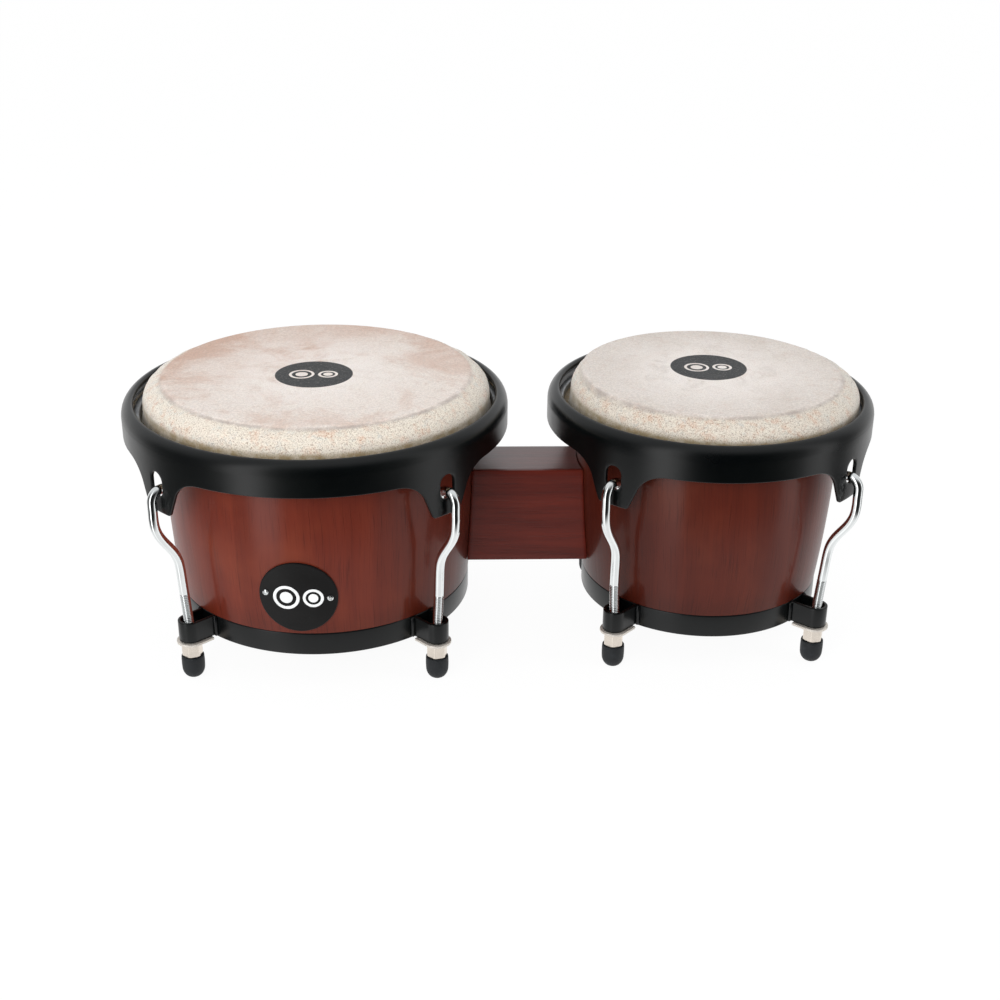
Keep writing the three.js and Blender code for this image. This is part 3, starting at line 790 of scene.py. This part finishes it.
def build_nut(drum, label, at, turn):
    name = drum["name"]
    low, high = (h[2] for h in box_mm(f"{name}_nut_{label}"))
    shoulder, flats, face, bore = 16.2, 12.0, 6.0, 3.3
    full = hex_radius(flats, 6.75)
    slope = math.tan(math.radians(30))

    def drop(edge, sign):
        return lambda a: edge - sign * np.maximum(full(a) - face, 0) * slope

    hexagon = [(full, drop(shoulder, -1)), (full, drop(high, 1)), (face, high)]
    hole = [(3.7, high), (bore, high - 0.4), (bore, low + 0.4), (3.6, low)]
    neck = [(5.0, low), (5.2, low + 0.3), (5.2, shoulder), (face, shoulder)]
    body = polar_prism(Body(), [*hexagon, *hole, *neck], at, turn, 96)
    node = f"{name}_nut_{label}"
    body.make(f"{name}_hex_nut_{label}", NICKEL, f"{node}_body", node, angle=28)


def build_foot(drum, label, at):
    name = drum["name"]
    high = box_mm(f"{name}_foot_{label}")[1][2]
    turns = np.linspace(0.15, math.pi / 2, 12)
    dome = [(2.0 + 5.4 * math.sin(a), 7.3 - 7.3 * math.cos(a)) for a in turns]
    side = [(7.5, 9.5), (7.5, 12.0), (7.42, 14.4), (7.3, high - 0.5), (7.0, high - 0.1)]
    cup = [(6.6, high), (6.0, high - 0.3), (5.5, high - 1.0), (5.5, 6.6), (4.9, 6.2), (0, 6.2)]
    profile = [(0, 0), (1.2, 0), (2.0, 0.02), *dome, *side, *cup]
    body = lathe(Body(), profile, at, 64, closed=False)
    carrier, node = f"{name}_nut_{label}_body", f"{name}_foot_{label}"
    body.make(f"{name}_rubber_foot_{label}", RUBBER, carrier, node, angle=60)


def build_lugs(drum):
    for label in LUGS:
        x, y = drum["lugs"][label]
        at = drum["centre"] + (x, y)
        turn = math.atan2(x, -y) - math.pi / 2
        build_hook(drum, label)
        build_plate(drum, label, at, turn)
        build_nut(drum, label, at, turn + RNG.uniform(-0.5, 0.5))
        build_foot(drum, label, at)


# ---- counterhoop
HOOP_THICK = 2.4
EAR_LOW = 123.0
BAND_LOW = 149.3
BAND_TOP = 163.6
INNER_TOP = 162.6
EAR_SHOULDER = 38.0
# the rolled top edge as (distance in from the outer face, height)
ROLL = [(0, 163.6), (0.5, 166.6), (1.9, 169.2), (4, 171.2), (6.2, 172)]
ROLL += [(7.9, 171.2), (8.4, 169.6), (7.8, 168), (5.6, 166.6), (2.4, 162.6)]
SLOT_HALF, SLOT_LOW, SLOT_HIGH = 5.8, 133.5, 149.9
# the part of the face grid that gives way to the slot and the mesh round it
BLOCK_HALF, BLOCK_LOW, BLOCK_HIGH, BLOCK_ROWS = 9.0, 129.5, 154.0, 11
EDGE = 0.6
TINY = 1e-6


def ear_outline():
    """Half of an ear's lower edge, as (distance from the ear's middle, height)."""
    flat = [(y, EAR_LOW) for y in np.linspace(0, BLOCK_HALF, 9)]
    low, high = np.array([12.2, 125.3]), np.array([18.2, 139.0])
    corner = bezier((9.8, EAR_LOW), (11.3, EAR_LOW), low, 6)
    side = [low + (high - low) * t for t in (0.25, 0.5, 0.75)]
    return np.array([*flat, *corner, *side, *bezier(high, (24.5, BAND_LOW), (EAR_SHOULDER, BAND_LOW), 13)])


def hoop_columns(radius):
    """The hoop's lower edge over a quarter turn, as (distance round from an ear's middle, height)."""
    half = ear_outline()
    quarter = radius * math.pi / 2
    rest = np.linspace(EAR_SHOULDER, quarter - EAR_SHOULDER, 18)[1:-1]
    band = np.stack([rest, np.full(len(rest), BAND_LOW)], 1)
    left = half[::-1] * (-1, 1) + (quarter, 0)
    return np.concatenate([half, band, left[:-1]]), quarter


def hoop_points(drum, along, z, radius):
    azimuth = math.radians(drum["ear_turn"] - 45) + np.asarray(along) / drum["hoop"]
    return polar(radius, azimuth, z, drum["hoop_centre"])


def border_loop(columns, rows):
    """The slot block's border, anticlockwise from the middle of its lower side."""
    low = [(y, rows[0]) for y in columns]
    right = [(columns[-1], z) for z in rows[1:]]
    top = [(y, rows[-1]) for y in columns[::-1][1:]]
    left = [(columns[0], z) for z in rows[::-1][1:-1]]
    return np.roll([*low, *right, *top, *left], -(len(columns) // 2), 0)


def slot_loop(count, grow):
    """The slot's outline, anticlockwise from the middle of its lower end, made bigger by a distance."""
    r, low = SLOT_HALF, SLOT_LOW + SLOT_HALF
    straight, q = SLOT_HIGH - SLOT_HALF - low, math.pi * SLOT_HALF / 2
    s = np.arange(count) / count * (2 * straight + 4 * q)
    bent = np.minimum(s, q) + np.clip(s - q - straight, 0, 2 * q) + np.maximum(s - 3 * q - 2 * straight, 0)
    climbed = np.clip(s - q, 0, straight) - np.clip(s - 3 * q - straight, 0, straight)
    a = bent / r - math.pi / 2
    return np.stack([np.cos(a) * (r + grow), low + climbed + np.sin(a) * (r + grow)], 1)


def build_counterhoop(drum):
    name = drum["name"]
    outer = drum["hoop"]
    inner = outer - HOOP_THICK
    one, quarter = hoop_columns(outer)
    along = np.concatenate([one[:, 0] + quarter * k for k in range(4)])
    low = np.tile(one[:, 1], 4)
    in_block = np.linspace(BLOCK_LOW, BLOCK_HIGH, BLOCK_ROWS)
    heights = np.array([126.0, *in_block, 158.6, BAND_TOP])
    shares = (heights - EAR_LOW) / (BAND_TOP - EAR_LOW)
    body = Body()

    # which quads of a face grid lie in a slot's block
    offset, ahead = ((a + BLOCK_HALF) % quarter - BLOCK_HALF for a in (along, np.roll(along, -1)))
    near = np.abs(offset) <= BLOCK_HALF + TINY
    in_cols = near & (np.abs(ahead) <= BLOCK_HALF + TINY)
    in_rows = np.zeros(len(shares), bool)
    in_rows[1:BLOCK_ROWS] = True
    columns = np.unique(np.round(offset[near], 6))

    def all_round(points, radius):
        """One ear's points, given as (distance from its middle, height), put on all four ears."""
        for k in range(4):
            yield [hoop_points(drum, p[:, 0] + quarter * k, p[:, 1], r) for p, r in zip(points, radius)]

    for radius, top in ((outer, BAND_TOP), (inner, INNER_TOP)):
        z = low + shares[:, None] * (top - low)
        keep = ~(in_rows[:-1, None] & in_cols)
        body.patch(hoop_points(drum, along, z, radius), keep=keep)
        border = border_loop(columns, EAR_LOW + shares[1:BLOCK_ROWS + 1] * (top - EAR_LOW))
        hole = slot_loop(len(border), EDGE)
        layers = [border + (hole - border) * t for t in (0, 0.35, 0.7, 1.0)]
        for rows in all_round(layers, [radius] * len(layers)):
            body.patch(rows)

    # the slot's wall, its two edges rounded
    turns = np.linspace(0, math.pi / 2, 5)
    wall = [(EDGE * (1 - math.sin(a)), outer - EDGE * (1 - math.cos(a))) for a in turns]
    wall += [(EDGE * (1 - math.cos(a)), inner + EDGE * (1 - math.sin(a))) for a in turns]
    for rows in all_round([slot_loop(len(border), grow) for grow, _ in wall], [r for _, r in wall]):
        body.patch(rows)

    # the lower edge, rounded, which follows the ears' outline
    edge = np.stack([along, low], 1)
    run = np.roll(edge, -1, 0) - np.roll(edge, 1, 0)
    run[[0, -1], 0] += 4 * quarter
    out = normals(run)
    first, last = (low + shares[0] * (top - low) for top in (BAND_TOP, INNER_TOP))
    rows = [hoop_points(drum, *(edge - out * inset).T, radius) for inset, radius in wall]
    ends = hoop_points(drum, along, first, outer), hoop_points(drum, along, last, inner)
    body.patch([ends[0], *rows, ends[1]])

    # the rolled top edge
    body.patch([hoop_points(drum, along, z, outer - inset) for inset, z in soften(ROLL)])
    piece, node = f"{name}_counterhoop_pressed", f"{name}_counterhoop"
    body.make(piece, COAT, f"{name}_rim", node, weld=0.01, angle=50)


# ---- head
BEND_Z = 183.7


def skin_profile(drum):
    """The head's outer face from its middle over the bearing edge and round the flesh hoop, then back."""
    r = drum["skin"] - CREASE_INSET
    top = drum["skin_z"][1]
    outer, (low, high) = drum["flesh"], drum["flesh_z"]
    flat = [(x, top) for x in np.linspace(0, r - 6, 26)]
    shoulder = [(r - 2, top - 0.05), (r + 0.3, BEND_Z)]
    flare = [(0.45, 0.16), (0.8, 0.38), (0.97, 0.66), (1.0, 1.0)]
    skirt = [(r + CREASE_INSET * out, BEND_Z - 15.4 * down) for out, down in flare]
    wrap = [(r + 12.6, 164.0), (r + 13.6, low - 1.4), (outer - 2.4, low - 2.2)]
    wrap += [(outer + 0.9, low - 0.6), (outer + 1.1, high - 1.2)]
    outside = np.array([*flat[:-1], *soften([flat[-1], *shoulder, *skirt, *wrap])])
    thick = np.interp(outside[:, 0], [0, r, r + 4], [1.0, 1.0, 1.2])
    inside = outside + normals(np.gradient(outside, axis=0)) * thick[:, None]
    inside[:2, 0] = [0, outside[1, 0]]
    return np.concatenate([outside, inside[::-1]])


def build_skin(drum):
    name = drum["name"]
    profile = skin_profile(drum)
    segments = 256
    body = lathe(Body(), profile, drum["centre"], segments, closed=False)
    pts = body.points[0].reshape(len(profile), segments, 3)
    azimuth = np.arange(segments) * TAU / segments
    r = drum["skin"] - CREASE_INSET
    # the stretched skin's rim wavers, and its skirt has soft gathers
    waves, gathers = np.zeros(segments), np.zeros(segments)
    for k in range(2, 9):
        waves += RNG.normal() / k * np.cos(k * azimuth + RNG.uniform(0, TAU))
    for k in range(14, 60, 3):
        gathers += RNG.normal() / 6 * np.cos(k * azimuth + RNG.uniform(0, TAU))
    radius = profile[:, 0]
    lift = np.interp(radius, [0, r * 0.8, r, r + 8, r + 14], [0, 0, 0.35, 0.5, 0])
    pucker = np.interp(radius, [0, r, r + 6, r + 11, r + 13], [0, 0, 0.45, 0.3, 0])
    pts[..., 2] += lift[:, None] * waves * 0.6 + pucker[:, None] * gathers
    # on one side the collar is pulled closer in
    tight = np.clip(-np.sin(azimuth), 0, 1) ** 0.7 * drum["tight"]
    drawn = np.interp(radius, [0, r, r + 7], [0, 0, 1])[:, None] * tight
    pts[..., 0] += drawn * -np.sin(azimuth)
    pts[..., 1] += drawn * np.cos(azimuth)
    finish = head_skin(drum), "head_skin"
    obj = body.make(f"{name}_head_skin", finish, None, f"{name}_skin", weld=0.003, angle=80)
    # the object's transform is written into its points
    cx, cy = (float(c) * MM for c in drum["centre"])
    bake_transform(obj)


def build_flesh_hoop(drum):
    name = drum["name"]
    outer, (low, high) = drum["flesh"], drum["flesh_z"]
    inner = outer - 4.8
    corners = [(outer, low), (outer, high), (inner, high), (inner, low)]
    body = lathe(Body(), rounded(corners, 1.6, 5), drum["centre"], 160)
    body.make(f"{name}_flesh_hoop_round", STEEL, f"{name}_rim", f"{name}_flesh_hoop", angle=60)


# ---- centre block
# how far out from its middle each row of a hollowed end lies, and where the rows between the ends lie
END_SHARES = (0.02, 0.35, 0.7, 0.93, 0.985)
SPAN_SHARES = (0.008, 0.03, 0.15, 0.35, 0.65, 0.85, 0.97, 0.992)


def build_block():
    low, high = box_mm("centre_block")
    half = (high[1] - low[1]) / 2
    z0, z1 = low[2], high[2]
    corners = np.array([(-half, z0), (half, z0), (half, z1), (-half, z1)])
    steps = np.linspace(0, 1, 14, endpoint=False)
    outline = [a + (b - a) * t for a, b in zip(corners, np.roll(corners, -1, 0)) for t in steps]
    soft = np.where(np.arange(len(outline)) % len(steps) == 0, 1.4, 0.01)
    y, z = rounded(outline, soft, 3).T
    middle_z = (z0 + z1) / 2

    def end_row(drum, share):
        """The outline, shrunk to a share of its size, laid on the face of a drum's shell."""
        yy, zz = y * share, middle_z + (z - middle_z) * share
        reach = np.sqrt((shell_radius(drum, zz) + SEAT_GAP) ** 2 - yy**2)
        return np.stack([drum["centre"][0] + drum["side"] * reach, yy, zz], 1)

    large, small = DRUMS["large"], DRUMS["small"]
    left, right = end_row(large, 1.0), end_row(small, 1.0)
    rows = [end_row(large, share) for share in END_SHARES]
    rows += [left + (right - left) * share for share in SPAN_SHARES]
    rows += [end_row(small, share) for share in reversed(END_SHARES)]
    for i in (0, -1):
        rows[i] = np.tile(rows[i].mean(0), (len(y), 1))
    body = Body().patch(rows)
    body.make("centre_block_shaped", (wood_block(), "block_wood"), "drum_base", "centre_block")


# ---- badge
BADGE_HEIGHT, BADGE_AZIMUTH, BADGE_RADIUS, BADGE_THICK = 70.0, math.radians(-5), 25.0, 1.2
# the rings of the badge's motif: distance to the right of its middle, radius and half the width
BADGE_RINGS = ((-7.3, 7.4, 1.0), (9.6, 5.6, 0.9))


def disc_rows(drum, rings, aside=0.0, segments=96):
    """Rings of points on the shell's face, given as (radius, lift), about a point of the badge."""
    a = np.arange(segments) * TAU / segments
    rows = []
    for r, lift in rings:
        z = BADGE_HEIGHT + r * np.sin(a)
        azimuth = BADGE_AZIMUTH + (aside + r * np.cos(a)) / float(shell_radius(drum, BADGE_HEIGHT))
        rows.append(polar(shell_radius(drum, z) + SEAT_GAP + lift, azimuth, z, drum["centre"]))
    return rows


def build_badge(drum):
    r, t = BADGE_RADIUS, BADGE_THICK
    rings = [(x, t) for x in np.linspace(0, r - 1.6, 14)]
    rings += [(r - 1.1, t), (r - 0.6, t + 0.02), (r - 0.25, t - 0.08), (r - 0.05, t - 0.3)]
    rings += [(r, t - 0.6), (r, 0.1), (r - 0.1, 0)]
    rings += [(x, 0) for x in np.linspace(r - 1, 0, 12)]
    body = Body().patch(disc_rows(drum, rings, segments=160))
    body.make("badge_disc", BADGE_BLACK, "drum_base", "badge", angle=50)
    ink = Body()
    sunk, side, top, soft = t - 0.1, t + 0.16, t + 0.22, 0.15
    for aside, radius, half in BADGE_RINGS:
        out, inn, dot = radius + half, radius - half, 0.55 * radius
        ring = [(out, sunk), (out, side), (out - soft, top), (inn + soft, top), (inn, side), (inn, sunk)]
        ink.patch(disc_rows(drum, ring, aside), wrap_rows=True)
        spot = [(0, sunk), (dot, sunk), (dot, side), (dot - soft, top), (0.5 * dot, top), (0, top)]
        ink.patch(disc_rows(drum, spot, aside))
    ink.make("badge_rings", BADGE_WHITE, "drum_base", angle=50)


def build_badge_screw(drum, side):
    node = f"badge_screw_{side}"
    low, high = box_mm(node)
    x, y, z = (low + high) / 2 - (*drum["centre"], 0)
    azimuth = math.atan2(x, -y)
    face = float(shell_radius(drum, z)) + 1.6
    segments, head = 48, 2.0
    arm_half, arm_reach, depth = 0.42, 1.45, 0.55
    a = np.arange(segments) * TAU / segments
    rings = [(r, 1.0 - 0.45 * (r / head) ** 2) for r in np.linspace(0, head * 0.92, 12)]
    rings += [(head, 0.35), (head, 0.0), (0.9, 0.0), (0.9, -4.5), (0.0, -5.0)]
    rows = []
    for r, h in rings:
        # the crossed recess, cut into the rings on top of the head
        arm = np.minimum(np.abs(r * np.cos(a)), np.abs(r * np.sin(a)))
        deep = np.clip((arm_half - arm) / 0.12, 0, 1) * np.clip((arm_reach - r) / 0.2, 0, 1)
        u, v = r * np.cos(a + 0.4), r * np.sin(a + 0.4)
        lift = h - depth * deep * (h > 0.4)
        rows.append(polar(face + lift, azimuth + u / face, z + v, drum["centre"]))
    Body().patch(rows).make(f"{node}_cross_head", CHROME, "drum_base", node, angle=35)


# ---- fasteners inside the shells
BOLT_HEAD = [(0, 0), (1.6, 0.15), (3.2, 0.5), (4.8, 1.4), (5.7, 2.6), (6, 3.6), (6, 4.0), (3.0, 4.0)]
BOLT_THREAD = [(3.0 - 0.25 * (i % 2), 4.0 + 0.8 * i) for i in range(1, 41)]


def build_inside(drum):
    """Round-headed bolts and the plate under them, seen only from below."""
    name, side = drum["name"], drum["side"]
    a = np.arange(32) * TAU / 32
    for label in ("lower", "upper"):
        node = f"{name}_block_bolt_{label}"
        low, high = box_mm(node)
        z = (low[2] + high[2]) / 2
        start = low[0] if side > 0 else high[0]
        length = high[0] - low[0]
        profile = [*BOLT_HEAD, *BOLT_THREAD, (2.4, length - 0.3), (0, length)]
        r, along = np.array(profile).T[..., None]
        rows = np.broadcast_arrays(start + side * along, r * np.cos(a), z + r * np.sin(a))
        body = Body().patch(np.stack(rows, -1))
        body.make(f"{name}_carriage_bolt_{label}", STEEL, "drum_base", node)
    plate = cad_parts[f"{name}_backing_plate"]
    plate.data.materials.clear()
    plate.data.materials.append(STEEL[0])
    bevel = plate.modifiers.new("soft_edges", "BEVEL")
    bevel.width = 0.5 * MM
    bevel.segments = 2
    bevel.limit_method = "ANGLE"


# ---- the object
for drum in DRUMS.values():
    build_shell(drum)
    build_ring(drum)
    build_skin(drum)
    build_flesh_hoop(drum)
    build_counterhoop(drum)
    build_lugs(drum)
    build_inside(drum)
build_block()
build_badge(DRUMS["large"])
for side in ("left", "right"):
    build_badge_screw(DRUMS["large"], side)


# ---- floor, light and camera
FLOOR_HALF = 6.0


def build_floor():
    """A white floor with a faint shadow. The object's gloss shows it only close to the drums."""
    look = new_look("floor")
    at = look.place()
    x, y, _ = look.split(at)
    colour = look.mix(look.noise(at, 3.0, 2.0), (0.88, 0.88, 0.88), (0.92, 0.92, 0.92))
    matt = look.add("BsdfDiffuse", {0: colour}).outputs[0]
    glow = look.add("Emission", {0: (1.0, 1.0, 1.0), 1: 1.03}).outputs[0]
    clear = look.add("BsdfTransparent").outputs[0]
    rays = look.add("LightPath").outputs
    away = []
    for drum in DRUMS.values():
        cx, cy = drum["centre"] * MM
        distance = look.length(look.minus(x, cx), look.minus(y, cy))
        away.append(look.minus(distance, drum["hoop"] * MM))
    pool = look.step(look.math("MINIMUM", *away), 0.080, 0.215, 0.85, 0.0)
    seen = look.add("MixShader", {0: look.times(rays["Is Camera Ray"], 0.92), 1: matt, 2: glow})
    mirrored = look.add("MixShader", {0: pool, 1: clear, 2: glow})
    both = look.add("MixShader", {0: rays["Is Glossy Ray"], 1: seen.outputs[0], 2: mirrored.outputs[0]})
    look.add("OutputMaterial", {0: both.outputs[0]})
    mesh = bpy.data.meshes.new("floor")
    s = FLOOR_HALF
    mesh.from_pydata([(-s, -s, 0), (s, -s, 0), (s, s, 0), (-s, s, 0)], [], [(0, 1, 2, 3)])
    mesh.materials.append(look.owner)
    link("floor", mesh)


# each light's place, size and power. They are seen neither directly nor mirrored.
LIGHTS = {
    "overhead": ((0.0, 0.15, 1.3), (1.6, 1.0), 1.6),
    "left_box": ((-1.1, -0.45, 0.55), (0.5, 1.1), 2.1),
    "right_box": ((1.1, -0.35, 0.55), (0.5, 1.1), 2.3),
    "front_box": ((-0.45, -1.3, 0.75), (0.7, 0.5), 9.0),
}
LIGHT_TARGET = (0.0, 0.0, 0.1)


def area_light(name, at, size, power):
    data = bpy.data.lights.new(name, "AREA")
    data.shape = "RECTANGLE"
    data.size, data.size_y = size
    data.energy = power
    light = link(name, data)
    direction = Vector(LIGHT_TARGET) - Vector(at)
    light.location = at
    light.rotation_euler = direction.to_track_quat("-Z", "Y").to_euler()
    light.visible_camera = False
    light.visible_glossy = False


# soft upright strips in the tent's walls: azimuth from the front (-Y) towards +X, half the width of the
# bright core, half the whole width, and power
STRIPS = ((-0.66, 0.06, 0.30, 2.4), (1.28, 0.06, 0.30, 1.3))


def build_world():
    """White to the camera. To the object it is a white tent with a dark gap where the camera stands."""
    world = bpy.data.worlds.new("studio")
    bpy.context.scene.world = world
    look = Look(world)
    x, y, z = look.split(look.add("TexCoord").outputs["Generated"])
    azimuth = look.math("ARCTAN2", x, look.times(y, -1.0))
    off_axis = look.absolute(azimuth)
    walls = look.step(off_axis, 1.65, 2.2, 0.0, 0.8)
    walls = look.plus(walls, look.step(off_axis, 0.5, 0.9, 0.015, 0.14))
    for at, core, edge, power in STRIPS:
        off = look.absolute(look.minus(azimuth, at))
        walls = look.plus(walls, look.step(off, core, edge, power, 0.0))
    overhead = look.step(look.line(y, 0.35, z), 0.10, 0.90)
    level = look.mix(overhead, look.grey(walls), (0.76, 0.77, 0.78))
    ray = look.add("LightPath").outputs["Is Camera Ray"]
    background = look.add("Background", {0: look.mix(ray, level, (1.0, 1.0, 1.0)), 1: 1.0})
    look.add("OutputWorld", {0: background.outputs[0]})


# the camera's turn, dip and roll in degrees, its lens in millimetres, and its place in metres, with x
# counted from the large drum's axis
CAMERA_TURN = (2.301, 24.533, 0.620)
CAMERA_LENS = 52.90
CAMERA_AT = (0.0846, -0.92108, 0.51075)


def build_camera():
    yaw, pitch, roll = (math.radians(a) for a in CAMERA_TURN)
    view = Vector((math.sin(yaw) * math.cos(pitch), math.cos(yaw) * math.cos(pitch), -math.sin(pitch)))
    level = Vector((math.cos(yaw), -math.sin(yaw), 0))
    upright = level.cross(view)
    right = math.cos(roll) * level + math.sin(roll) * upright
    up = -math.sin(roll) * level + math.cos(roll) * upright
    turn = Matrix((right, up, -view)).transposed().to_4x4()
    data = bpy.data.cameras.new("camera")
    data.sensor_width = 36.0
    data.lens = CAMERA_LENS
    camera = link("camera", data)
    x, y, z = CAMERA_AT
    at = Vector((DRUMS["large"]["centre"][0] * MM + x, y, z))
    camera.matrix_world = Matrix.Translation(at) @ turn
    bpy.context.scene.camera = camera


build_floor()
build_world()
for name, values in LIGHTS.items():
    area_light(name, *values)
build_camera()
bpy.context.scene.view_settings.view_transform = "Standard"
